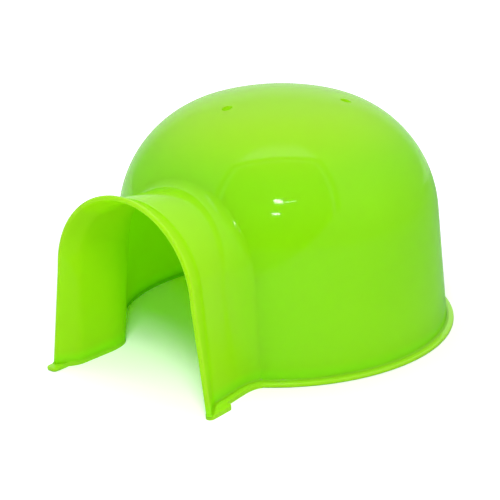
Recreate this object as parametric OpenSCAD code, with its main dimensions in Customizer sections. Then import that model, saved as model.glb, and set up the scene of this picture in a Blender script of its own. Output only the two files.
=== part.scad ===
// Hamster igloo: one moulded shell with a domed chamber, a short arched entrance tunnel
// with a flared mouth, and an out-turned rim round the foot. It has no floor.
// The origin is the middle of the footprint on the floor, the tunnel points to -Y, +Z is up.

/* [Dome] */
// Outer radius of the dome wall at the floor
dome_r = 65; // [60:0.5:75]
// Height of the dome
dome_h = 91; // [88:0.5:100]
// Inward lean of the dome wall, in degrees
wall_draft = 4.8; // [2:0.1:6]
// Radius of the shoulder between the wall and the crown
shoulder_r = 47.5; // [42:0.5:52]
// Radius of the flat crown
crown_r = 97; // [85:1:130]
// Thickness of the moulded wall, dome and tunnel alike
wall = 1.8; // [1.2:0.1:2.6]

/* [Vents] */
// Number of air holes in the crown
vent_count = 3; // [2:1:6]
// Diameter of an air hole
vent_d = 4; // [2:0.2:8]
// Distance of the air holes from the dome's axis
vent_ring_r = 25.8; // [16:0.1:34]
// Turn of the first air hole from the tunnel's middle, in degrees
vent_turn = -8.5; // [-60:0.5:60]
// Distance of the ring of air holes behind the dome's axis
vent_back = 2.1; // [-3:0.1:3]

/* [Tunnel] */
// Distance of the mouth from the dome's axis, at the floor
mouth_y = 87.4; // [84:0.2:100]
// Outer radius of the neck's arch, where the flare starts
neck_r = 29.2; // [25:0.2:32]
// Height of the arch's centre
arch_z = 39; // [35:0.5:45]
// Outward splay of the neck's legs, in degrees
neck_splay = 5.3; // [3:0.1:7]
// Narrowing of the neck towards the dome, in degrees
neck_taper = 4.2; // [0:0.1:7]
// Radius of the fillet where the neck runs into the dome
root_r = 15; // [8:0.5:17]

/* [Mouth] */
// Depth of the flare
flare_depth = 6.2; // [5:0.1:9]
// Outward reach of the flare at the top of the arch
flare_out = 2.7; // [1.5:0.1:3.2]
// Outward splay of the mouth's legs, in degrees
mouth_splay = 7.8; // [7:0.1:9]
// Backward lean of the mouth, in degrees
mouth_lean = 1.3; // [0:0.1:4]

/* [Base rim] */
// Outward reach of the rim from the dome wall at the floor
rim_w = 2.6; // [2:0.1:5]
// Thickness of the rim
rim_t = 1.6; // [1.4:0.1:3]
// Radius of the rim's rounded edges
rim_edge = 0.6; // [0.2:0.1:0.7]
// Radius of the hollow between the wall and the rim
cove_r = 0.8; // [0.4:0.1:1.6]

/* [Foot tabs] */
// Distance of a tab's outer edge from the tunnel's middle
tab_x = 38.3; // [37.5:0.1:44]
// Width of a tab
tab_w = 4.8; // [4.2:0.1:6]
// Length of a tab behind the mouth
tab_len = 13; // [10:0.1:16]
// Reach of the left tab in front of the mouth
left_front = 3; // [0:0.1:5]
// Reach of the right tab in front of the mouth
right_front = 0; // [0:0.1:5]
// Radius of a tab's corners
tab_corner = 1.6; // [1:0.1:1.9]

/* [Hidden] */
$fn = 128;
lime = "#8ce01e";

// Steps along each curve of the tunnel and the dome
shoulder_n = 18;
crown_n = 4;
arc_n = 14;
leg_n = 3;
cove_n = 3;
flare_n = 4;
root_n = 7;
lip_n = 4;
corner_n = 4;
search_n = 40;
tiny = 0.001;

// The dome's axis lies behind the origin, which halves the length from the longer tab to the rim
rim_r = dome_r + rim_w;
front = mouth_y + max(left_front, right_front);
dome_y = (front - rim_r) / 2;

// Centres of the shoulder and crown arcs, each tangent to its neighbour
crown_z = dome_h - crown_r;
shoulder_in = dome_r * cos(wall_draft) - shoulder_r;
shoulder_up = crown_z * cos(wall_draft)
    + sqrt(pow(crown_r - shoulder_r, 2) - pow(shoulder_in - crown_z * sin(wall_draft), 2));
shoulder_x = shoulder_in * cos(wall_draft) - shoulder_up * sin(wall_draft);
shoulder_z = shoulder_in * sin(wall_draft) + shoulder_up * cos(wall_draft);
crown_a = atan2(shoulder_z - crown_z, shoulder_x);

// Radius at height z of the surface that lies "grow" outside the dome's wall
function dome_at(z, grow) =
    let (rs = shoulder_r + grow, rc = crown_r + grow)
    z < shoulder_z + rs * sin(wall_draft) ? dome_r - z * tan(wall_draft) + grow / cos(wall_draft) :
    z < shoulder_z + rs * sin(crown_a) ? shoulder_x + sqrt(rs * rs - pow(z - shoulder_z, 2)) :
    sqrt(rc * rc - pow(z - crown_z, 2));

// Points of the shoulder and crown arcs, from the wall up to the axis
function cap_points(grow) = concat(
    [for (j = [0:shoulder_n])
        let (a = wall_draft + j * (crown_a - wall_draft) / shoulder_n)
        [shoulder_x + (shoulder_r + grow) * cos(a), shoulder_z + (shoulder_r + grow) * sin(a)]],
    [for (j = [1:crown_n])
        let (a = crown_a + j * (90 - crown_a) / crown_n)
        [(crown_r + grow) * cos(a), crown_z + (crown_r + grow) * sin(a)]]);

// The hollow between wall and rim as [height, reach] from the rim's top up
cove = [for (j = [0:cove_n])
    let (a = 90 * (1 - j / cove_n))
    [rim_t + cove_r * (1 - sin(a)), cove_r * (1 - cos(a))]];

// A row is one line along the tunnel: [x, z] of the neck and [x, z] of its outward direction
spring_top = arch_z + neck_r * sin(neck_splay);
function leg_row(z) =
    let (k = (z - rim_t) / (spring_top - rim_t))
    [(neck_r - (z - arch_z) * sin(neck_splay)) / cos(neck_splay), z,
     1 + k * (cos(neck_splay) - 1), k * sin(neck_splay)];
function arc_row(a) = [neck_r * cos(a), arch_z + neck_r * sin(a), cos(a), sin(a)];

// In a row's plane a point is [reach, y], and a ray points from an arc's centre to the wall
function ray(a) = [-cos(a), sin(a)];
function place(row, p) = [row[0] + p[0] * row[2], p[1], row[1] + p[0] * row[3]];

// The flare's arc, which leaves the neck tangent to it and widens towards the floor
function flare_reach(row) =
    flare_out + max(0, arch_z - row[1]) * (tan(mouth_splay) - tan(neck_splay));
function mouth_a(row) = 2 * atan2(flare_reach(row), flare_depth) - neck_taper;
function flare_r(row) = flare_depth / (sin(mouth_a(row)) - sin(neck_taper));
function flare_c(row) = [
    flare_r(row) * cos(neck_taper),
    wall / 2 - mouth_y + row[1] * tan(mouth_lean) + (flare_r(row) + wall / 2) * sin(mouth_a(row))];
function flare_points(row, grow) = [for (j = [0:flare_n])
    flare_c(row) + (flare_r(row) - grow)
        * ray(-mouth_a(row) + j * (mouth_a(row) - neck_taper) / flare_n)];

// The rounded lip, in its own arc from the inner face to the outer
function lip_middle(row, grow) = flare_c(row) + (flare_r(row) + (wall - grow) / 2) * ray(-mouth_a(row));
function lip_points(row, grow) = [for (j = [1:lip_n - 1])
    let (a = 180 + mouth_a(row) + 180 * j / lip_n)
    lip_middle(row, grow) + (wall + grow) / 2 * [cos(a), sin(a)]];

// The root fillet touches the dome at a reach found by halving
function front_y(row, reach, grow) =
    let (p = place(row, [reach, 0]))
    -sqrt(pow(dome_at(p[2], grow), 2) - p[0] * p[0]);
function touch_a(row, reach, grow) =
    atan2(2 * tiny, front_y(row, reach + tiny, grow) - front_y(row, reach - tiny, grow));
function root_c_at(row, reach, grow) =
    [reach, front_y(row, reach, grow)] - (root_r - grow) * ray(touch_a(row, reach, grow));
function neck_start(row) = flare_c(row) + flare_r(row) * ray(-neck_taper);
function root_miss(row, reach, grow) =
    (root_c_at(row, reach, grow) - neck_start(row)) * -ray(-neck_taper) - root_r;
function touch_between(row, grow, low, high, steps) =
    let (middle = (low + high) / 2)
    steps == 0 ? middle :
    root_miss(row, middle, grow) > 0 ? touch_between(row, grow, low, middle, steps - 1) :
    touch_between(row, grow, middle, high, steps - 1);
function touch(row, grow) = touch_between(row, grow, -root_r, 2 * root_r, search_n);
function root_points(row, grow, touch_reach, out) =
    let (c = root_c_at(row, touch_reach, grow), end = touch_a(row, touch_reach, grow))
    [for (j = [0:root_n]) c + (root_r - out) * ray(j * (end + neck_taper) / root_n - neck_taper)];

function backwards(list) = [for (j = [len(list) - 1:-1:0]) list[j]];
function mirrored(list) = [for (p = list) [-p[0], p[1], p[2]]];

// The wall's section along one row: outer face to the dome, inner face back, and the lip
function section(row, grow) =
    let (reach = touch(row, grow))
    [for (p = concat(
        flare_points(row, grow),
        root_points(row, grow, reach, grow),
        [[reach, front_y(row, reach, -wall)]],
        backwards(root_points(row, grow, reach, -wall)),
        backwards(flare_points(row, -wall)),
        lip_points(row, grow))) place(row, p + [0, dome_y])];

// Rows from the floor on the right to the top of the arch, each with the cove's reach there
rows = concat(
    [[leg_row(0), cove_r]],
    [for (c = cove) [leg_row(c[0]), c[1]]],
    [for (j = [1:leg_n])
        let (low = rim_t + cove_r)
        [leg_row(low + j * (spring_top - low) / leg_n), 0]],
    [for (j = [1:arc_n]) [arc_row(neck_splay + j * (90 - neck_splay) / arc_n), 0]]);
right_sections = [for (r = rows) section(r[0], r[1])];
sections = concat(right_sections, [for (j = [len(rows) - 2:-1:0]) mirrored(right_sections[j])]);

// Outline of the doorway in the dome, where the tunnel's fillet ends
door_right = [for (r = rows)
    let (p = place(r[0], [touch(r[0], r[1]), 0]))
    [p[0], p[2]]];
door_left = [for (j = [len(rows) - 2:-1:0]) [-door_right[j][0], door_right[j][1]]];

// Skin over a row of closed loops that have as many points each, with a cap at either end
module skin(loops) {
    n = len(loops[0]);
    last = (len(loops) - 1) * n;
    polyhedron(
        points = [for (l = loops) each l],
        faces = concat(
            [[for (j = [0:n - 1]) j]],
            [[for (j = [n - 1:-1:0]) last + j]],
            [for (i = [0:len(loops) - 2], j = [0:n - 1])
                let (a = i * n + j, b = i * n + (j + 1) % n)
                each [[a, a + n, b], [b, a + n, b + n]]]));
}

// Dome with its air holes, open where the tunnel joins it
module dome() {
    color(lime) translate([0, dome_y, 0]) difference() {
        rotate_extrude() polygon(concat(
            [for (c = cove) [dome_at(c[0], c[1]), c[0]]],
            cap_points(0),
            backwards(cap_points(-wall)),
            [[dome_at(rim_t, -wall), rim_t]]));
        rotate([90, 0, 0]) linear_extrude(rim_r) polygon(concat(door_right, door_left));
        for (k = [0:vent_count - 1])
            translate([0, vent_back, arch_z])
                rotate([0, 0, vent_turn + k * 360 / vent_count])
                    translate([0, -vent_ring_r, 0]) cylinder(h = dome_h, d = vent_d);
    }
}

// Arched neck with its flared mouth and the fillet at its root, standing on the rim
module entrance_tunnel() {
    color(lime) difference() {
        skin(sections);
        translate([-front, -front, -rim_t]) cube([2 * front, 2 * front, 2 * rim_t]);
    }
}

// Rounded edge of the rim as [inset, height] from the floor up
edge = concat(
    [for (a = [0:45:90]) [rim_edge * (1 - sin(a)), rim_edge * (1 - cos(a))]],
    [for (a = [90:-45:0]) [rim_edge * (1 - sin(a)), rim_t - rim_edge * (1 - cos(a))]]);

// The foot's own row, and the angle at which its rim runs into the dome's
foot = leg_row(rim_t);
foot_touch = touch(foot, 0);
rim_out = rim_r - dome_at(rim_t, 0);
rim_end = atan2(foot[0] + foot_touch, -front_y(foot, foot_touch, 0));

// Out-turned rim round the dome
module base_rim() {
    color(lime) translate([0, dome_y, 0])
        rotate([0, 0, rim_end - 90]) rotate_extrude(angle = 360 - 2 * rim_end) polygon(concat(
            [[dome_at(rim_t, -wall), 0]],
            [for (e = edge) [rim_r - e[0], e[1]]],
            [[dome_at(rim_t, -wall), rim_t]]));
}

// Plan of a foot rail's outer edge as [point, outward direction], from the dome to the tab's inner corner
function unit(v) = v / norm(v);
tab_back = tab_len - mouth_y;
tab_in = tab_x - tab_w;
function rim_x(y) =
    let (p = neck_start(foot) - rim_out * ray(-neck_taper))
    foot[0] + p[0] - (y - p[1]) * tan(neck_taper);
rail_root = [for (p = backwards(root_points(foot, 0, foot_touch, rim_out)))
    [[foot[0], 0] + p, unit(root_c_at(foot, foot_touch, 0) - p)]];
function rail_arc(c, r, from, turn, out) = [for (j = [0:corner_n])
    let (a = from + turn * j / corner_n)
    [c + r * [cos(a), sin(a)], [out[0] * cos(a), out[1] * sin(a)]]];
hollow_share = 0.8;
tab_hollow = hollow_share * (tab_x - tab_corner - rim_x(tab_back));
function rail_tab(tab_y) = concat(
    rail_arc([rim_x(tab_back) + tab_hollow, tab_back], tab_hollow, 180, 90, [-1, -1]),
    rail_arc([tab_x - tab_corner, tab_back - tab_hollow - tab_corner], tab_corner, 90, -90, [1, 1]),
    rail_arc([tab_x - tab_corner, tab_y + tab_corner], tab_corner, 0, -90, [1, 1]),
    rail_arc([tab_in + tab_corner, tab_y + tab_corner], tab_corner, -90, -90, [0, 1]));

// The rail's inner edge below the wall's inner face, with a point for each of the outer edge
tab_n = 4 * (corner_n + 1);
tab_a = acos((foot[0] + flare_c(foot)[0] - tab_in) / (flare_r(foot) + wall));
rail_inner = concat(
    backwards(root_points(foot, 0, foot_touch, -wall)),
    [for (j = [0:tab_n - 1])
        let (a = neck_taper + (tab_a - neck_taper) * j / (tab_n - 1))
        flare_c(foot) + (flare_r(foot) + wall) * ray(-a)]);

// Rim along one side of the tunnel, with the wider tab at the mouth
module foot_rail(tab_front) {
    outer = concat(rail_root, rail_tab(-mouth_y - tab_front));
    color(lime) translate([0, dome_y, 0])
        skin([for (i = [0:len(outer) - 1])
            let (p = outer[i][0], out = outer[i][1], q = [foot[0], 0] + rail_inner[i])
            concat([[each q, 0]], [for (e = edge) [each (p - e[0] * out), e[1]]], [[each q, rim_t]])]);
}

module right_foot_rail() {
    foot_rail(right_front);
}

module left_foot_rail() {
    mirror([1, 0, 0]) foot_rail(left_front);
}

dome();
entrance_tunnel();
base_rim();
left_foot_rail();
right_foot_rail();
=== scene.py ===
import math

import bmesh
import bpy
from mathutils import Matrix, Vector


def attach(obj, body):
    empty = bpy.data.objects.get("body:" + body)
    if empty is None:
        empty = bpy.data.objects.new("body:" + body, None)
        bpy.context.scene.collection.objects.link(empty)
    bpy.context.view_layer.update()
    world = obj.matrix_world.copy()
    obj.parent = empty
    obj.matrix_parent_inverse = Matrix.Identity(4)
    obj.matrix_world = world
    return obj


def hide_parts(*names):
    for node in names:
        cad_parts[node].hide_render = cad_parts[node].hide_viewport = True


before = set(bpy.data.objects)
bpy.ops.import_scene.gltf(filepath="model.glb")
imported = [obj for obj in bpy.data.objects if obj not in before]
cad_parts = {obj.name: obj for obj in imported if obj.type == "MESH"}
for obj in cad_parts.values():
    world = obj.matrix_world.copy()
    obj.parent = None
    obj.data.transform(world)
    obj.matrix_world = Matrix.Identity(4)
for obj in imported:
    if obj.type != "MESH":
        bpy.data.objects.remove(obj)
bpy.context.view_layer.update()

scene = bpy.context.scene
millimetre = 0.001       # shapes are worked out in mm, with the dome's axis at x = y = 0
mergeWithin = 0.0005     # mm, corners nearer than this become one
smoothBelow = 40         # degrees, sharper edges stay hard
white = (1, 1, 1, 1)

domeSizes = {
    "radius": 65,            # at the floor
    "height": 91,
    "draft": 4.8,            # inward lean of the wall, degrees
    "shoulderRadius": 47.5,
    "crownRadius": 97,
    "wall": 1.8,
    "coveRadius": 0.8,       # hollow between wall and rim
    "axisY": 11.4,           # the dome's axis in the part's frame
    "doorFront": 5,          # the doorway's cutter starts this far in front of the rim
    "doorBack": 20,          # and ends this far in front of the axis
    "turns": 224,
    "coveSteps": 6,
    "wallSteps": 10,
    "shoulderSteps": 30,
    "crownSteps": 14,
    "nearby": 0.03,          # a corner this near to the dome's surface is shaded as the dome,
    "facing": 0.8,           # if its face looks that way
}
rimSizes = {
    "width": 2.6,
    "thickness": 1.6,
    "edge": 0.6,             # radius of the rounded edges
    "edgeSteps": 5,
    "turns": 200,
}

wall = domeSizes["wall"]
coveRadius = domeSizes["coveRadius"]
rimTop = rimSizes["thickness"]
rimRadius = domeSizes["radius"] + rimSizes["width"]
coveEnd = rimTop + coveRadius


def sinOf(angle):
    return math.sin(math.radians(angle))


def cosOf(angle):
    return math.cos(math.radians(angle))


def tanOf(angle):
    return math.tan(math.radians(angle))


def stepsBetween(low, high, steps):  # evenly from low, which is left out, to high
    return [low + (j + 1) * (high - low) / steps for j in range(steps)]


def arcPoints(x, y, radius, begin, end, steps):
    angles = [begin + j * (end - begin) / steps for j in range(steps + 1)]
    return [(x + radius * cosOf(a), y + radius * sinOf(a)) for a in angles]


# centres of the dome's shoulder and crown arcs, which are tangent to the wall and to each other
draft = domeSizes["draft"]
shoulderRadius = domeSizes["shoulderRadius"]
crownRadius = domeSizes["crownRadius"]
crownZ = domeSizes["height"] - crownRadius
inward = domeSizes["radius"] * cosOf(draft) - shoulderRadius
upward = crownZ * cosOf(draft) + math.sqrt(
    (crownRadius - shoulderRadius) ** 2 - (inward - crownZ * sinOf(draft)) ** 2)
shoulderX = inward * cosOf(draft) - upward * sinOf(draft)
shoulderZ = inward * sinOf(draft) + upward * cosOf(draft)
crownAngle = math.degrees(math.atan2(shoulderZ - crownZ, shoulderX))


def domeAt(z, grow):  # radius at height z of the surface that lies grow outside the dome
    if z < shoulderZ + (shoulderRadius + grow) * sinOf(draft):
        return domeSizes["radius"] - z * tanOf(draft) + grow / cosOf(draft)
    if z < shoulderZ + (shoulderRadius + grow) * sinOf(crownAngle):
        return shoulderX + math.sqrt((shoulderRadius + grow) ** 2 - (z - shoulderZ) ** 2)
    return math.sqrt(max(0.0, (crownRadius + grow) ** 2 - (z - crownZ) ** 2))


def domeNormal(point, grow):  # outward direction of the dome where the point lies on it, or None
    reach = math.hypot(point.x, point.y)
    if point.z > crownZ + (crownRadius + grow) * sinOf(crownAngle):
        out = Vector((reach, point.z - crownZ))
        off = out.length - crownRadius - grow
    elif point.z > shoulderZ + (shoulderRadius + grow) * sinOf(draft):
        out = Vector((reach - shoulderX, point.z - shoulderZ))
        off = out.length - shoulderRadius - grow
    else:
        out = Vector((cosOf(draft), sinOf(draft)))
        off = (reach - domeAt(point.z, grow)) * cosOf(draft)
    if abs(off) > domeSizes["nearby"]:
        return None
    out.normalize()
    flat = Vector((point.x, point.y, 0)).normalized() * out.x
    return Vector((flat.x, flat.y, out.y))


def capPoints(grow):  # shoulder and crown from the wall up to the axis, as (radius, height)
    shoulder = arcPoints(shoulderX, shoulderZ, shoulderRadius + grow, draft, crownAngle,
                         domeSizes["shoulderSteps"])
    crown = arcPoints(0, crownZ, crownRadius + grow, crownAngle, 90, domeSizes["crownSteps"])
    return shoulder + crown[1:]


def covePoints():  # from the rim up to the wall, as (height, reach)
    steps = domeSizes["coveSteps"]
    angles = [90 * (1 - j / steps) for j in range(steps + 1)]
    return [(rimTop + coveRadius * (1 - sinOf(a)), coveRadius * (1 - cosOf(a))) for a in angles]


# entrance tunnel: its lines come before the dome is made, because the doorway is cut along them
tunnelSizes = {
    "mouthY": 87.4,              # from the dome's axis to the mouth's foot
    "neckRadius": 29.2,          # of the arch, outside, where the flare starts
    "archZ": 39,                 # height of the arch's centre
    "neckSplay": 5.3,            # outward lean of the legs, degrees
    "neckTaper": 4.2,            # narrowing from mouth to dome, degrees
    "rootRadius": (7, 8, 6.5),   # fillet into the dome, at the floor, where the arch springs and at its top
    "rootRun": (2, 2.4, 0.8),    # its length along the neck, where it is 1 over the dome
    "flareDepth": 6.2,           # from neck to lip, along the neck
    "flareOut": 2.7,             # and outwards
    "mouthSplay": 7.8,           # outward lean of the legs at the lip, degrees
    "mouthLean": 1.3,            # backward lean of the mouth, degrees
    "bendRadius": 6,             # between neck and flange
    "neckRings": (0.08, 0.3, 0.7, 0.92),   # shares of the straight neck, where rings keep its shading flat
    "legSteps": 12,
    "archSteps": 30,
    "bendSteps": 8,
    "flangeSteps": 4,
    "rootSteps": 20,
    "lipSteps": 6,
    "halvings": 40,              # to find where the fillet meets the dome
}
mouthY = tunnelSizes["mouthY"]
neckRadius = tunnelSizes["neckRadius"]
archZ = tunnelSizes["archZ"]
neckSplay = tunnelSizes["neckSplay"]
neckTaper = tunnelSizes["neckTaper"]
springTop = archZ + neckRadius * sinOf(neckSplay)


class Row:  # a line of the tunnel from mouth to dome, with the way out of the wall there
    def __init__(self, x, z, outX, outZ):
        self.x, self.z, self.outX, self.outZ = x, z, outX, outZ

    def place(self, p):
        return Vector((self.x + p.x * self.outX, p.y, self.z + p.x * self.outZ))


def legRow(z):
    k = (z - rimTop) / (springTop - rimTop)
    x = (neckRadius - (z - archZ) * sinOf(neckSplay)) / cosOf(neckSplay)
    return Row(x, z, 1 + k * (cosOf(neckSplay) - 1), k * sinOf(neckSplay))


def archRow(a):
    return Row(neckRadius * cosOf(a), archZ + neckRadius * sinOf(a), cosOf(a), sinOf(a))


def ray(a):  # from an arc's centre to the wall
    return Vector((-cosOf(a), sinOf(a)))


def mouthAngle(row):  # how far the flare has turned outwards at the lip, degrees
    drop = max(0, archZ - row.z)
    reach = tunnelSizes["flareOut"] + drop * (tanOf(tunnelSizes["mouthSplay"]) - tanOf(neckSplay))
    return 2 * math.degrees(math.atan2(reach, tunnelSizes["flareDepth"])) - neckTaper


def flareRadius(row):
    return tunnelSizes["flareDepth"] / (sinOf(mouthAngle(row)) - sinOf(neckTaper))


def flareCentre(row):
    lean = row.z * tanOf(tunnelSizes["mouthLean"])
    back = (flareRadius(row) + wall / 2) * sinOf(mouthAngle(row))
    return Vector((flareRadius(row) * cosOf(neckTaper), wall / 2 - mouthY + lean + back))


def neckStart(row):
    return flareCentre(row) + flareRadius(row) * ray(-neckTaper)


def flangeEnds(row):  # the flange's middle line, from the crease to the lip, and its angle
    crease = neckStart(row) + wall / 2 * ray(-neckTaper)
    lip = flareCentre(row) + (flareRadius(row) + wall / 2) * ray(-mouthAngle(row))
    way = lip - crease
    return crease, lip, math.degrees(math.atan2(way.x, -way.y))


def flarePoints(row, grow):  # from the lip along the flat flange and round the bend to the neck
    bendSteps, flangeSteps = tunnelSizes["bendSteps"], tunnelSizes["flangeSteps"]
    crease, lip, lean = flangeEnds(row)
    radius = tunnelSizes["bendRadius"] + wall / 2
    centre = crease - radius / cosOf((lean - neckTaper) / 2) * ray(-(lean + neckTaper) / 2)
    angles = [-lean + j * (lean - neckTaper) / bendSteps for j in range(bendSteps + 1)]
    bend = [centre + (radius - wall / 2 - grow) * ray(a) for a in angles]
    end = lip - (wall / 2 + grow) * ray(-lean)
    return [end.lerp(bend[0], j / flangeSteps) for j in range(flangeSteps)] + bend


def lipPoints(row, grow):  # the rounded lip, from the flange's inside to its outside
    lipSteps = tunnelSizes["lipSteps"]
    _, lip, lean = flangeEnds(row)
    middle = lip - grow / 2 * ray(-lean)
    angles = [180 + lean + 180 * j / lipSteps for j in range(1, lipSteps)]
    return [middle + (wall + grow) / 2 * Vector((cosOf(a), sinOf(a))) for a in angles]


def frontY(row, reach, grow):  # where the dome's surface lies, reach outside the row
    p = row.place(Vector((reach, 0)))
    return -math.sqrt(domeAt(p.z, grow) ** 2 - p.x ** 2)


def touchAngle(row, reach, grow):  # and its slope there
    tiny = 0.001
    rise = frontY(row, reach + tiny, grow) - frontY(row, reach - tiny, grow)
    return math.degrees(math.atan2(2 * tiny, rise))


def upTheArch(row, levels):  # level at the row, between those at the floor, the spring and the top
    atFloor, atSpring, atTop = levels
    rise = row.z / archZ
    if rise < 1:
        return atFloor + (atSpring - atFloor) * rise
    return atSpring + (atTop - atSpring) * (row.z - archZ) / neckRadius


def rootRadius(row):
    return upTheArch(row, tunnelSizes["rootRadius"])


def rootCentre(row, reach, grow):
    touch = Vector((reach, frontY(row, reach, grow)))
    return touch - (rootRadius(row) - grow) * ray(touchAngle(row, reach, grow))


def touchReach(row, grow):  # where the root's fillet meets the dome, found by halving
    low, high = -rootRadius(row), 2 * rootRadius(row)
    out = -ray(-neckTaper)
    for _ in range(tunnelSizes["halvings"]):
        middle = (low + high) / 2
        if (rootCentre(row, middle, grow) - neckStart(row)).dot(out) > rootRadius(row):
            high = middle
        else:
            low = middle
    return (low + high) / 2


def rootPoints(row, grow, reach, out):  # from neck to dome on a conic, which is round where rootRun is 1
    centre, end = rootCentre(row, reach, grow), touchAngle(row, reach, grow)
    half = (end + neckTaper) / 2
    pull = cosOf(half)
    corner = centre + rootRadius(row) / pull * ray(half - neckTaper)
    start = corner.lerp(centre + rootRadius(row) * ray(-neckTaper), upTheArch(row, tunnelSizes["rootRun"]))
    touch = centre + rootRadius(row) * ray(end)
    points = []
    for j in range(tunnelSizes["rootSteps"] + 1):
        k = j / tunnelSizes["rootSteps"]
        low, high = 1 - k + k * pull, k + (1 - k) * pull
        near, far = start.lerp(corner, k * pull / low), corner.lerp(touch, k / high)
        way = (far - near).normalized()
        onCurve = near.lerp(far, k * high / ((1 - k) * low + k * high))
        points.append(onCurve - out * Vector((-way.y, way.x)))
    return points


def withNeck(flare, root):
    return flare + [flare[-1].lerp(root[0], k) for k in tunnelSizes["neckRings"]] + root


def tunnelSection(row, grow):  # closed outline of the wall along one row
    reach = touchReach(row, grow)
    outer = withNeck(flarePoints(row, grow), rootPoints(row, grow, reach, grow))
    inner = withNeck(flarePoints(row, -wall), rootPoints(row, grow, reach, -wall))
    end = [Vector((reach, frontY(row, reach, -wall)))]
    return [row.place(p) for p in outer + end + inner[::-1] + lipPoints(row, grow)]


# rows from the rim up to the arch's top, each with the cove's reach
tunnelRows = [(legRow(z), reach) for z, reach in covePoints()]
tunnelRows += [(legRow(z), 0) for z in stepsBetween(coveEnd, springTop, tunnelSizes["legSteps"])]
tunnelRows += [(archRow(a), 0) for a in stepsBetween(neckSplay, 90, tunnelSizes["archSteps"])]
footRow = legRow(rimTop)
footReach = touchReach(footRow, 0)


def rawObject(name, bm):
    mesh = bpy.data.meshes.new(name)
    bm.to_mesh(mesh)
    bm.free()
    thing = bpy.data.objects.new(name, mesh)
    scene.collection.objects.link(thing)
    return thing


def shadeAsDome(mesh):  # corners on the dome get its true normals, so that the tunnel's seam doesn't show
    normals = []
    for face in mesh.polygons:
        for vert in face.vertices:
            co = mesh.vertices[vert].co
            outer, inner = domeNormal(co, 0), domeNormal(co, -wall)
            if outer and face.normal.dot(outer) > domeSizes["facing"]:
                normals.append(outer)
            elif inner and face.normal.dot(inner) < -domeSizes["facing"]:
                normals.append(-inner)
            else:
                normals.append(Vector((0, 0, 0)))   # keeps the face's own
    mesh.normals_split_custom_set(normals)


def newPiece(name, bm):  # shaded smooth and moved from mm round the dome's axis to the part's frame
    for edge in bm.edges:
        edge.smooth = not edge.is_manifold or edge.calc_face_angle() < math.radians(smoothBelow)
    for face in bm.faces:
        face.smooth = True
    piece = rawObject(name, bm)
    shadeAsDome(piece.data)
    toPart = Matrix.Translation((0, domeSizes["axisY"] * millimetre, 0)) @ Matrix.Scale(millimetre, 4)
    piece.data.transform(toPart)
    return piece


def pairsOf(ring):  # each corner with the next one
    return zip(ring, ring[1:] + ring[:1])


def ringEdges(bm, ring):
    return [bm.edges.get(pair) for pair in pairsOf(ring)]


def ringOf(bm, points):
    verts = [bm.verts.new(p) for p in points]
    for pair in pairsOf(verts):
        bm.edges.new(pair)
    return verts


def extrudeRing(bm, ring, points):  # one more ring, joined to the last by faces
    made = set(bmesh.ops.extrude_edge_only(bm, edges=ringEdges(bm, ring))["geom"])
    following = []
    for vert, point in zip(ring, points):
        twin = next(e.other_vert(vert) for e in vert.link_edges if e.other_vert(vert) in made)
        twin.co = point
        following.append(twin)
    return following


def capRing(bm, ring):
    bmesh.ops.contextual_create(bm, geom=ring + ringEdges(bm, ring))


def roundEdges(bm, edges, radius, steps):
    bmesh.ops.bevel(bm, geom=edges, offset=radius, offset_type="OFFSET", segments=steps, profile=0.5,
                    affect="EDGES", material=-1, clamp_overlap=True)


# dome: the wall's section spun round the axis, then cut for the doorway and the air holes
ventSizes = {
    "count": 3,
    "diameter": 4,
    "ringRadius": 25.8,      # of the circle that they lie on
    "turn": -8.5,            # of the first one from the tunnel's middle, degrees
    "back": 2.1,             # of the circle's centre behind the dome's axis
    "edge": 0.2,             # radius of the rounded edges
    "edgeSteps": 3,
    "edgeTurn": 0.8,         # radians, edges sharper than this are rounded
    "above": 70,             # and only at this height or more
    "sides": 40,
    "drillZ": 80,
    "drillLength": 40,
}


def domeSection():  # outside from rim to axis and inside from axis to rim, as (radius, height)
    outerCap, innerCap = capPoints(0), capPoints(-wall)
    outerWall = stepsBetween(coveEnd, outerCap[0][1], domeSizes["wallSteps"])[:-1]
    innerWall = stepsBetween(innerCap[0][1], rimTop, domeSizes["wallSteps"])
    outer = [(domeAt(z, reach), z) for z, reach in covePoints()]
    outer += [(domeAt(z, 0), z) for z in outerWall] + outerCap
    inner = innerCap[::-1] + [(domeAt(z, -wall), z) for z in innerWall]
    return outer, inner


def makeDome():
    bm = bmesh.new()
    outside, inside = ([bm.verts.new((r, 0, z)) for r, z in side] for side in domeSection())
    edges = [bm.edges.new(pair) for side in (outside, inside) for pair in zip(side, side[1:])]
    edges.append(bm.edges.new((inside[-1], outside[0])))
    bmesh.ops.spin(bm, geom=outside + inside + edges, cent=(0, 0, 0), axis=(0, 0, 1),
                   angle=math.tau, steps=domeSizes["turns"], use_merge=True)
    bmesh.ops.remove_doubles(bm, verts=bm.verts, dist=mergeWithin)
    bmesh.ops.recalc_face_normals(bm, faces=bm.faces)
    return bm


def doorOutline(y):  # where the tunnel's root meets the dome, up the right side and down the left
    foot = legRow(0)
    right = [foot.place(Vector((touchReach(foot, coveRadius), y)))]
    right += [row.place(Vector((touchReach(row, reach), y))) for row, reach in tunnelRows]
    return right + [Vector((-p.x, y, p.z)) for p in right[-2::-1]]


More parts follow.
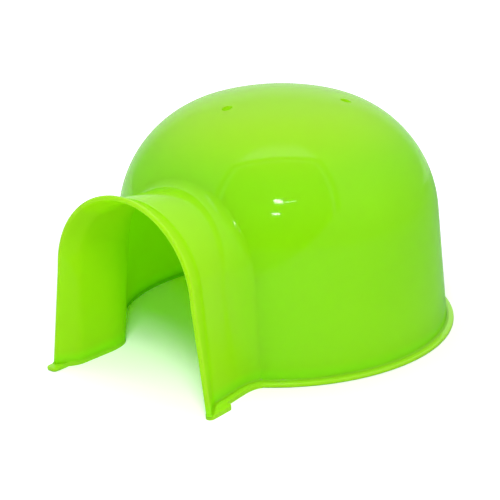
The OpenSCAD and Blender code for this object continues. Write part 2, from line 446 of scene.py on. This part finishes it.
def makeCutters():
    bm = bmesh.new()
    front = ringOf(bm, doorOutline(-rimRadius - domeSizes["doorFront"]))
    back = extrudeRing(bm, front, doorOutline(-domeSizes["doorBack"]))
    capRing(bm, front)
    capRing(bm, back)
    radius, ringRadius = ventSizes["diameter"] / 2, ventSizes["ringRadius"]
    for k in range(ventSizes["count"]):
        a = ventSizes["turn"] + k * 360 / ventSizes["count"]
        x, y = ringRadius * sinOf(a), ventSizes["back"] - ringRadius * cosOf(a)
        bmesh.ops.create_cone(bm, cap_ends=True, segments=ventSizes["sides"], radius1=radius, radius2=radius,
                              depth=ventSizes["drillLength"],
                              matrix=Matrix.Translation((x, y, ventSizes["drillZ"])))
    bmesh.ops.recalc_face_normals(bm, faces=bm.faces)
    return bm


def cutMesh(bm, cutterBm):
    body, cutter = rawObject("uncut", bm), rawObject("cutter", cutterBm)
    cut = body.modifiers.new("cut", "BOOLEAN")
    cut.object, cut.operation, cut.solver = cutter, "DIFFERENCE", "EXACT"
    bpy.context.view_layer.update()
    result = bmesh.new()
    result.from_object(body, bpy.context.evaluated_depsgraph_get())
    bmesh.ops.remove_doubles(result, verts=result.verts, dist=mergeWithin)
    for thing in (body, cutter):
        bpy.data.objects.remove(thing)
    return result


def roundVents(bm):
    edges = []
    for edge in bm.edges:
        sharp = edge.is_manifold and edge.calc_face_angle() > ventSizes["edgeTurn"]
        if sharp and all(v.co.z > ventSizes["above"] for v in edge.verts):
            edges.append(edge)
    roundEdges(bm, edges, ventSizes["edge"], ventSizes["edgeSteps"])


domeBm = cutMesh(makeDome(), makeCutters())
roundVents(domeBm)
domeShell = newPiece("domeShell", domeBm)
print("dome made,", len(domeShell.data.polygons), "faces")


# tunnel's mesh: the wall's section extruded row by row up one side, then mirrored
def makeTunnel():
    bm = bmesh.new()
    first = ring = ringOf(bm, tunnelSection(*tunnelRows[0]))
    for row, reach in tunnelRows[1:]:
        ring = extrudeRing(bm, ring, tunnelSection(row, reach))
    for vert in ring:
        vert.co.x = 0
    capRing(bm, first)
    bmesh.ops.mirror(bm, geom=bm.verts[:] + bm.edges[:] + bm.faces[:], merge_dist=mergeWithin, axis="X")
    bmesh.ops.recalc_face_normals(bm, faces=bm.faces)
    return bm


entranceTunnel = newPiece("entranceTunnel", makeTunnel())
print("entrance tunnel made,", len(entranceTunnel.data.polygons), "faces")

# base rim: its section spun from one side of the tunnel round to the other
rimInner = domeAt(rimTop, -wall)
rimEnd = math.degrees(math.atan2(footRow.x + footReach, -frontY(footRow, footReach, 0)))


def rimEdge():  # rounded edge from bottom to top, as (inset, height)
    edge, steps = rimSizes["edge"], rimSizes["edgeSteps"]
    angles = [90 * j / steps for j in range(steps + 1)]
    lower = [(edge * (1 - sinOf(a)), edge * (1 - cosOf(a))) for a in angles]
    return lower + [(inset, rimTop - z) for inset, z in reversed(lower)]


def makeRim():
    bm = bmesh.new()
    section = [(rimInner, 0)] + [(rimRadius - inset, z) for inset, z in rimEdge()] + [(rimInner, rimTop)]
    start = math.radians(rimEnd - 90)
    first = ringOf(bm, [Vector((r * math.cos(start), r * math.sin(start), z)) for r, z in section])
    spun = bmesh.ops.spin(bm, geom=first + ringEdges(bm, first), cent=(0, 0, 0), axis=(0, 0, 1),
                          angle=math.radians(360 - 2 * rimEnd), steps=rimSizes["turns"])
    last = [e for e in spun["geom_last"] if isinstance(e, bmesh.types.BMEdge)]
    capRing(bm, first)
    bmesh.ops.contextual_create(bm, geom=last)
    bmesh.ops.recalc_face_normals(bm, faces=bm.faces)
    return bm


baseRim = newPiece("baseRim", makeRim())
print("base rim made,", len(baseRim.data.polygons), "faces")

# foot rails: plan outline, extruded to the rim's height, outer edges rounded
railSizes = {
    "tabX": 38.3,            # outer side of the tabs
    "tabLength": 13,
    "hollowShare": 0.8,      # of the tab's step, rounded where it meets the rail
    "corner": 1.6,
    "arcSteps": 6,
    "left": {"front": 3, "inside": 33.5},       # reach in front of the mouth, inner side of the tab
    "right": {"front": -0.3, "inside": 35},
}
tabBack = railSizes["tabLength"] - mouthY
rimOut = rimRadius - domeAt(rimTop, 0)


def railArc(x, y, radius, begin, turn):
    return [Vector(p) for p in arcPoints(x, y, radius, begin, begin + turn, railSizes["arcSteps"])]


def besideFoot(points):
    return [Vector((footRow.x + p.x, p.y)) for p in points]


def railOutline(tab):
    corner, tabInside = railSizes["corner"], tab["inside"]
    start = neckStart(footRow) - rimOut * ray(-neckTaper)
    edgeX = footRow.x + start.x - (tabBack - start.y) * tanOf(neckTaper)
    tabOutside = railSizes["tabX"] - corner
    hollow = railSizes["hollowShare"] * (tabOutside - edgeX)
    cornerY = corner - mouthY - tab["front"]
    outer = besideFoot(reversed(rootPoints(footRow, 0, footReach, rimOut)))
    outer += railArc(edgeX + hollow, tabBack, hollow, 180, 90)
    outer += railArc(tabOutside, tabBack - hollow - corner, corner, 90, -90)
    outer += railArc(tabOutside, cornerY, corner, 0, -90)
    outer += railArc(tabInside + corner, cornerY, corner, -90, -90)
    inner = besideFoot(flarePoints(footRow, -wall) + rootPoints(footRow, 0, footReach, -wall))
    k = next(i for i, p in enumerate(inner) if p.x < tabInside)
    cut = inner[k - 1].lerp(inner[k], (inner[k - 1].x - tabInside) / (inner[k - 1].x - inner[k].x))
    return outer, [cut] + inner[k:]


def makeRail(side, tab):
    bm = bmesh.new()
    outer, inner = railOutline(tab)
    low = ringOf(bm, [Vector((p.x, p.y, 0)) for p in outer + inner])
    high = extrudeRing(bm, low, [Vector((p.x, p.y, rimTop)) for p in outer + inner])
    rounded = []
    for ring in (low, high):
        capRing(bm, ring)
        rounded += [bm.edges.get(pair) for pair in zip(ring[:len(outer)], ring[1:len(outer)])]
    roundEdges(bm, rounded, rimSizes["edge"], rimSizes["edgeSteps"])
    bmesh.ops.scale(bm, vec=(side, 1, 1), verts=bm.verts)
    bmesh.ops.recalc_face_normals(bm, faces=bm.faces)
    return bm


leftFootRail = newPiece("leftFootRail", makeRail(-1, railSizes["left"]))
rightFootRail = newPiece("rightFootRail", makeRail(1, railSizes["right"]))
print("foot rails made")


# lime plastic: thin in the wall, where light comes through it, and more solid in the rim and the rails
wallLook = {
    "Colour": (0.375, 0.73, 0.007, 1),
    "Denser": (0.35, 0.70, 0.006, 1),     # where the melt flowed thicker
    "Crown Painted Light": (0.49, 0.715, 0.014, 1),     # painted light: paler towards the top, where more light falls from overhead
    # painted light: the tunnel paler and yellower, for the stronger light on it
    "Neck Painted Light": (0.425, 0.68, 0.010, 1),
    # painted light: the flange's outside paler, as brightly lit as the neck
    "Flange Painted Light": (0.47, 0.66, 0.03, 1),
    "Foot": (0.37, 0.93, 0.008, 1),       # painted light: brighter green just above the rim, for light that the wall carries into the hollow there
    "Flow Scale": 22,
    "Haze Scale": 160,
    "Smooth": 0.04,                       # roughness where the polish is best
    "Dull": 0.08,                         # and where it is worst
    "through": (0.57, 1, 0.002, 1),       # light that comes through the wall
    "share": 0.485,                       # of that light
    "ripple": 0.00002,
    "rippleStrength": 0.5,
    "gloss": 0.4,
    "ior": 1.5,
}
rimLook = {
    **wallLook,
    "Colour": (0.36, 0.80, 0.015, 1),
    "Denser": (0.33, 0.77, 0.012, 1),
    # painted light: the neck and flange colours are paler, near the tunnel, as on the wall
    "Neck Painted Light": (0.40, 0.82, 0.015, 1),
    "Flange Painted Light": (0.40, 0.82, 0.015, 1),
    "Foot": (0.36, 0.80, 0.015, 1),
    "share": 0.15,
}
meltAndPaintedLightLook = {
    "flow": {"Detail": 3, "Roughness": 0.5},
    "flowRange": (0.35, 0.6),
    "haze": {"Detail": 4, "Roughness": 0.6},
    "hazeRange": (0.35, 0.65),
    "paintedLightFades": {                            # where painted light changes the colour, in metres
        "Crown Painted Light": ("Z", (0.068, 0.088)),
        "Neck Painted Light": ("Y", (-0.036, -0.06)),
        "Flange Painted Light": ("Y", (-0.0685, -0.0705)),
        "Foot": ("Z", (0.007, 0.002)),
    },
    "flangeOutside": (-0.4, -0.2),        # of the normal's Y, so that the flange's painted light stays on its outside and its inside keeps the neck's colour
}


def addNode(tree, kind, **values):  # a value goes to the socket of that name, or else to the node itself
    node = tree.nodes.new(kind)
    for name, value in values.items():
        if name in node.inputs:
            node.inputs[name].default_value = value
        else:
            setattr(node, name, value)
    return node


def feed(tree, socket, value):  # a number is set on the socket, an output is linked to it
    if isinstance(value, (int, float)):
        socket.default_value = value
    else:
        tree.links.new(value, socket)


# goes from start to end as value goes from low to high
def ramp(tree, value, low, high, start, end, kind="SMOOTHSTEP"):
    node = addNode(tree, "ShaderNodeMapRange", interpolation_type=kind)
    for socket, level in zip(node.inputs, (value, low, high, start, end)):
        feed(tree, socket, level)
    return node.outputs["Result"]


def combine(tree, kind, first, second):
    node = addNode(tree, "ShaderNodeMath", operation=kind)
    for socket, value in zip(node.inputs, (first, second)):
        feed(tree, socket, value)
    return node.outputs["Value"]


def axesOf(tree, place):
    node = addNode(tree, "ShaderNodeSeparateXYZ")
    tree.links.new(place, node.inputs["Vector"])
    return node.outputs


def blendColours(tree, share, first, second):
    node = addNode(tree, "ShaderNodeMix", data_type="RGBA")
    for socket, value in ((node.inputs[0], share), (node.inputs[6], first), (node.inputs[7], second)):
        tree.links.new(value, socket)   # 6 and 7 are its two colours
    return node.outputs[2]


def meltNoise(group, place, scale, values):
    noise = addNode(group, "ShaderNodeTexNoise", **values)
    group.links.new(place, noise.inputs["Vector"])
    group.links.new(scale, noise.inputs["Scale"])
    return noise.outputs["Fac"]


# the melt's colour, painted lighter at the crown, tunnel, flange and foot, and its polish and ripple, which
# wall and rim both have
def makeMeltAndPaintedLight():
    group = bpy.data.node_groups.new("limeMeltAndPaintedLight", "ShaderNodeTree")
    link = group.links.new
    sockets = (
        ("INPUT", "NodeSocketColor", ("Colour", "Denser", *meltAndPaintedLightLook["paintedLightFades"])),
        ("INPUT", "NodeSocketFloat", ("Flow Scale", "Haze Scale", "Smooth", "Dull")),
        ("OUTPUT", "NodeSocketColor", ("Tint",)),
        ("OUTPUT", "NodeSocketFloat", ("Polish", "Ripple")),
    )
    for way, kind, names in sockets:
        for name in names:
            group.interface.new_socket(name, in_out=way, socket_type=kind)
    given, out = addNode(group, "NodeGroupInput").outputs, addNode(group, "NodeGroupOutput").inputs
    place = addNode(group, "ShaderNodeTexCoord").outputs
    flow = meltNoise(group, place["Object"], given["Flow Scale"], meltAndPaintedLightLook["flow"])
    haze = meltNoise(group, place["Object"], given["Haze Scale"], meltAndPaintedLightLook["haze"])
    axes, facing = axesOf(group, place["Object"]), axesOf(group, place["Normal"])
    paintedLightFades = {name: ramp(group, axes[axis], *ends, 0, 1) for name, (axis, ends) in meltAndPaintedLightLook["paintedLightFades"].items()}
    paintedLightFades["Flange Painted Light"] = ramp(group, facing["Y"], *meltAndPaintedLightLook["flangeOutside"], 0, paintedLightFades["Flange Painted Light"])
    flowed = ramp(group, flow, *meltAndPaintedLightLook["flowRange"], 0, 1, "LINEAR")
    tint = blendColours(group, flowed, given["Denser"], given["Colour"])
    for name, fade in paintedLightFades.items():
        tint = blendColours(group, fade, tint, given[name])
    polish = ramp(group, haze, *meltAndPaintedLightLook["hazeRange"], given["Smooth"], given["Dull"], "LINEAR")
    link(tint, out["Tint"])
    link(polish, out["Polish"])
    link(flow, out["Ripple"])
    return group


limeMeltAndPaintedLight = makeMeltAndPaintedLight()


def limePlastic(name, look):
    material = bpy.data.materials.new(name)
    material.use_nodes = True
    tree = material.node_tree
    link = tree.links.new
    shader = tree.nodes["Principled BSDF"]
    shader.inputs["IOR"].default_value = look["ior"]
    shader.inputs["Specular IOR Level"].default_value = look["gloss"]
    melt = addNode(tree, "ShaderNodeGroup", node_tree=limeMeltAndPaintedLight)
    for socket in melt.inputs:
        socket.default_value = look[socket.name]
    link(melt.outputs["Tint"], shader.inputs["Base Color"])
    link(melt.outputs["Polish"], shader.inputs["Roughness"])
    bump = addNode(tree, "ShaderNodeBump", Distance=look["ripple"], Strength=look["rippleStrength"])
    link(melt.outputs["Ripple"], bump.inputs["Height"])
    link(bump.outputs["Normal"], shader.inputs["Normal"])
    through = addNode(tree, "ShaderNodeBsdfTranslucent", Color=look["through"])
    shell = addNode(tree, "ShaderNodeMixShader", Fac=look["share"])
    link(shader.outputs["BSDF"], shell.inputs[1])
    link(through.outputs["BSDF"], shell.inputs[2])
    link(shell.outputs["Shader"], tree.nodes["Material Output"].inputs["Surface"])
    return material


wallPlastic, rimPlastic = limePlastic("limeWall", wallLook), limePlastic("limeRim", rimLook)
stoodFor = {domeShell: "dome", entranceTunnel: "entrance_tunnel", baseRim: "base_rim",
            leftFootRail: "left_foot_rail", rightFootRail: "right_foot_rail"}
for piece, node in stoodFor.items():
    piece.data.materials.append(wallPlastic if piece in (domeShell, entranceTunnel) else rimPlastic)
    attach(piece, "root")
    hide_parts(node)
print("plastic on", len(stoodFor), "pieces")

# floor: seen as white, and still shaded by the igloo
floorLook = {
    "size": 6,
    "seen": 1,
    "bounce": 0.95,
    "lift": 0.5,             # glow far from the igloo, where it runs into the white backdrop
    "liftAt": (0.08, 0.26),
    "porch": 0.2,            # and a painted pool of light in front of the mouth, which pales the shade there
    "porchY": (-0.03, -0.08),
    "gloss": (0.12, 0.55),   # duller in the gloss, under the igloo and around it
    "glossEdge": (0.05, 0.1),
    "back": 0.6,             # and brighter behind the igloo
    "backWay": (-0.98, 0.2, 0),
    "backEdge": (0.09, 0.16),
    "edges": (               # where it ends in the gloss, by the way there and how far
        ((0.22, -0.975, 0), 0.254),
        ((-0.536, -0.844, 0), 0.055),
    ),
    "edgeSoft": 0.012,
    "edgeX": (-0.2, -0.1),   # and only to the right of this
    "outside": 0.15,         # level past both edges
}


def seenRay(tree, *kinds):  # 1 on these kinds of ray, 0 on the others
    path = addNode(tree, "ShaderNodeLightPath").outputs
    seen = path[kinds[0]]
    for kind in kinds[1:]:
        seen = combine(tree, "MAXIMUM", seen, path[kind])
    return seen


def reachAlong(tree, place, way):
    node = addNode(tree, "ShaderNodeVectorMath", operation="DOT_PRODUCT")
    tree.links.new(place, node.inputs[0])
    node.inputs[1].default_value = way
    return node.outputs["Value"]


def floorInGloss(tree, spot, far, axes):
    soft = floorLook["edgeSoft"]
    around = ramp(tree, far, *floorLook["glossEdge"], *floorLook["gloss"])
    level = ramp(tree, axes["X"], *floorLook["edgeX"], around, floorLook["outside"])
    for way, end in floorLook["edges"]:
        level = ramp(tree, reachAlong(tree, spot, way), end - soft, end + soft, around, level)
    return level


def paleFloor():
    material = bpy.data.materials.new("paleFloor")
    material.use_nodes = True
    tree = material.node_tree
    shader = tree.nodes["Principled BSDF"].inputs
    shader["Roughness"].default_value = 1
    shader["Specular IOR Level"].default_value = 0
    shader["Emission Color"].default_value = white
    seen, gloss = seenRay(tree, "Is Camera Ray", "Is Transmission Ray"), seenRay(tree, "Is Glossy Ray")
    spot = addNode(tree, "ShaderNodeTexCoord").outputs["Object"]
    axes = axesOf(tree, spot)
    distance = addNode(tree, "ShaderNodeVectorMath", operation="LENGTH")
    tree.links.new(spot, distance.inputs[0])
    far = distance.outputs["Value"]
    unseen = ramp(tree, gloss, 0, 1, floorLook["bounce"], floorInGloss(tree, spot, far, axes))
    tree.links.new(ramp(tree, seen, 0, 1, unseen, floorLook["seen"]), shader["Base Color"])
    porch = ramp(tree, axes["Y"], *floorLook["porchY"], 0, floorLook["porch"])
    lift = ramp(tree, far, *floorLook["liftAt"], porch, floorLook["lift"])
    aside = reachAlong(tree, spot, floorLook["backWay"])
    glow = ramp(tree, gloss, 0, 1, 0, ramp(tree, aside, *floorLook["backEdge"], 0, floorLook["back"]))
    tree.links.new(ramp(tree, seen, 0, 1, glow, lift), shader["Emission Strength"])
    return material


floorBm = bmesh.new()
bmesh.ops.create_grid(floorBm, x_segments=1, y_segments=1, size=floorLook["size"])
floor = rawObject("floor", floorBm)
floor.data.materials.append(paleFloor())

# white tent: even light, and its open front shows dark in the gloss
tentLook = {
    "light": (0.87, 1.1),     # on the igloo, from floor height and from overhead
    "overhead": 0.9,
    "dim": 0.08,              # share of it that comes from the front
    "dimAt": (0.05, 0.5),
    "dimWay": (0.4, -0.917, 0),
    "opening": (0, 0.5),      # in the gloss, at floor height and overhead
    "edges": {                # of the opening, each by the way into it
        "left": (0.969, -0.144, 0.198),
        "top": (0.664, -0.735, -0.134),
        "right": (-0.168, -0.953, 0.252),
        "low": (-0.379, -0.594, 0.710),
    },
    "edgeSoft": 0.025,
    "hem": 1.2,               # bright line inside the left, top and right edges
    "hemAt": (0.045, 0.085, 0.125),
    "walls": (0.5, 1.1),      # in the gloss, at floor height and high up
    "wallsTop": 0.8,
    "front": (0.638, -0.770, 0),
    "backAt": (-0.7, -1),     # along the front's way, where the back wall is as bright as high up
    "roof": 2.0,              # brighter roof above the opening's top edge
    "roofAt": (-0.32, -0.05),
    "roofSoft": 0.1,
}


def tentInGloss(tree, way, height):
    soft = tentLook["edgeSoft"]
    fromEdge = {name: reachAlong(tree, way, inwards) for name, inwards in tentLook["edges"].items()}
    fromSide = combine(tree, "MINIMUM", fromEdge["left"], fromEdge["right"])
    inset = combine(tree, "MINIMUM", fromSide, fromEdge["top"])
    opening = ramp(tree, combine(tree, "MINIMUM", inset, fromEdge["low"]), -soft, soft, 0, 1)
    hemStart, hemMiddle, hemEnd = tentLook["hemAt"]
    hemRise = ramp(tree, inset, hemStart, hemMiddle, 0, 1)
    hemFall = ramp(tree, inset, hemMiddle, hemEnd, 0, 1)
    hem = combine(tree, "SUBTRACT", hemRise, hemFall)
    dark = ramp(tree, hem, 0, 1, ramp(tree, height, 0, 1, *tentLook["opening"]), tentLook["hem"])
    roofEdge = ramp(tree, fromEdge["top"], *tentLook["roofAt"], 0, tentLook["roof"])
    overOpening = combine(tree, "MINIMUM", fromSide, fromEdge["low"])
    roof = ramp(tree, overOpening, 0, tentLook["roofSoft"], 0, roofEdge)
    forward = reachAlong(tree, way, tentLook["front"])
    backWall = ramp(tree, forward, *tentLook["backAt"], 0, tentLook["wallsTop"])
    highUp = combine(tree, "MAXIMUM", height, backWall)
    walls = combine(tree, "ADD", ramp(tree, highUp, 0, tentLook["wallsTop"], *tentLook["walls"]), roof)
    return ramp(tree, opening, 0, 1, walls, dark)


def tentLight(tree, way, height):
    soft = ramp(tree, height, 0, tentLook["overhead"], *tentLook["light"])
    dimmed = ramp(tree, reachAlong(tree, way, tentLook["dimWay"]), *tentLook["dimAt"], 1, tentLook["dim"])
    return combine(tree, "MULTIPLY", soft, dimmed)


def whiteTent():
    world = bpy.data.worlds.new("tent")
    world.use_nodes = True
    tree = world.node_tree
    backdrop = tree.nodes["Background"].inputs
    backdrop["Color"].default_value = white
    way = addNode(tree, "ShaderNodeTexCoord").outputs["Generated"]
    height = reachAlong(tree, way, (0, 0, 1))
    light, inGloss = tentLight(tree, way, height), tentInGloss(tree, way, height)
    unseen = ramp(tree, seenRay(tree, "Is Glossy Ray"), 0, 1, light, inGloss)
    level = ramp(tree, seenRay(tree, "Is Camera Ray", "Is Transmission Ray"), 0, 1, unseen, 1)
    tree.links.new(level, backdrop["Strength"])
    return world


scene.world = whiteTent()


def aimAt(place, target):  # turn that points a lamp or the camera
    return (Vector(target) - Vector(place)).to_track_quat("-Z", "Y")


# three small lamps give the bright spots, the wide one above the camera lights the doorway
lamps = {
    "spot": {
        "at": (0.363, -0.443, 0.508),
        "towards": (0.034, -0.033, 0.064),
        "size": (0.075, 0.04),
        "power": 0.4,
        "gloss": True,
    },
    "strip": {
        "at": (0.400, -0.523, 0.404),
        "towards": (0.035, -0.034, 0.061),
        "size": (0.06, 0.02),
        "power": 0.2,
        "gloss": True,
    },
    "tube": {
        "at": (0.381, -0.343, 0.443),
        "towards": (0.034, -0.033, 0.064),
        "size": (0.15, 0.006),
        "power": 0.06,
        "gloss": True,
    },
    "key": {
        "at": (0.348, -0.462, 0.729),
        "towards": (0, 0, 0.04),
        "size": (0.25, 0.25),
        "power": 4.65,
        "gloss": False,
    },
}
for name, lamp in lamps.items():
    light = bpy.data.lights.new(name, "AREA")
    light.shape, light.energy = "RECTANGLE", lamp["power"]
    light.size, light.size_y = lamp["size"]
    holder = bpy.data.objects.new(name, light)
    holder.location = lamp["at"]
    holder.rotation_euler = aimAt(lamp["at"], lamp["towards"]).to_euler()
    holder.visible_glossy = lamp["gloss"]
    scene.collection.objects.link(holder)

cameraSet = {
    "at": (0.311517, -0.381929, 0.204303),
    "towards": (-0.0147, 0.0114, 0.024386),
    "roll": -1.946,          # degrees
    "lens": 98.502,
    "sensor": 36,
    "clip": (0.01, 50),
}
cameraData = bpy.data.cameras.new("camera")
cameraData.lens, cameraData.sensor_width = cameraSet["lens"], cameraSet["sensor"]
cameraData.clip_start, cameraData.clip_end = cameraSet["clip"]
camera = bpy.data.objects.new("camera", cameraData)
camera.location = cameraSet["at"]
roll = Matrix.Rotation(math.radians(cameraSet["roll"]), 3, "Z")
camera.rotation_euler = (aimAt(cameraSet["at"], cameraSet["towards"]).to_matrix() @ roll).to_euler()
scene.collection.objects.link(camera)
scene.camera = camera
scene.view_settings.view_transform = "Standard"
print("stage set")
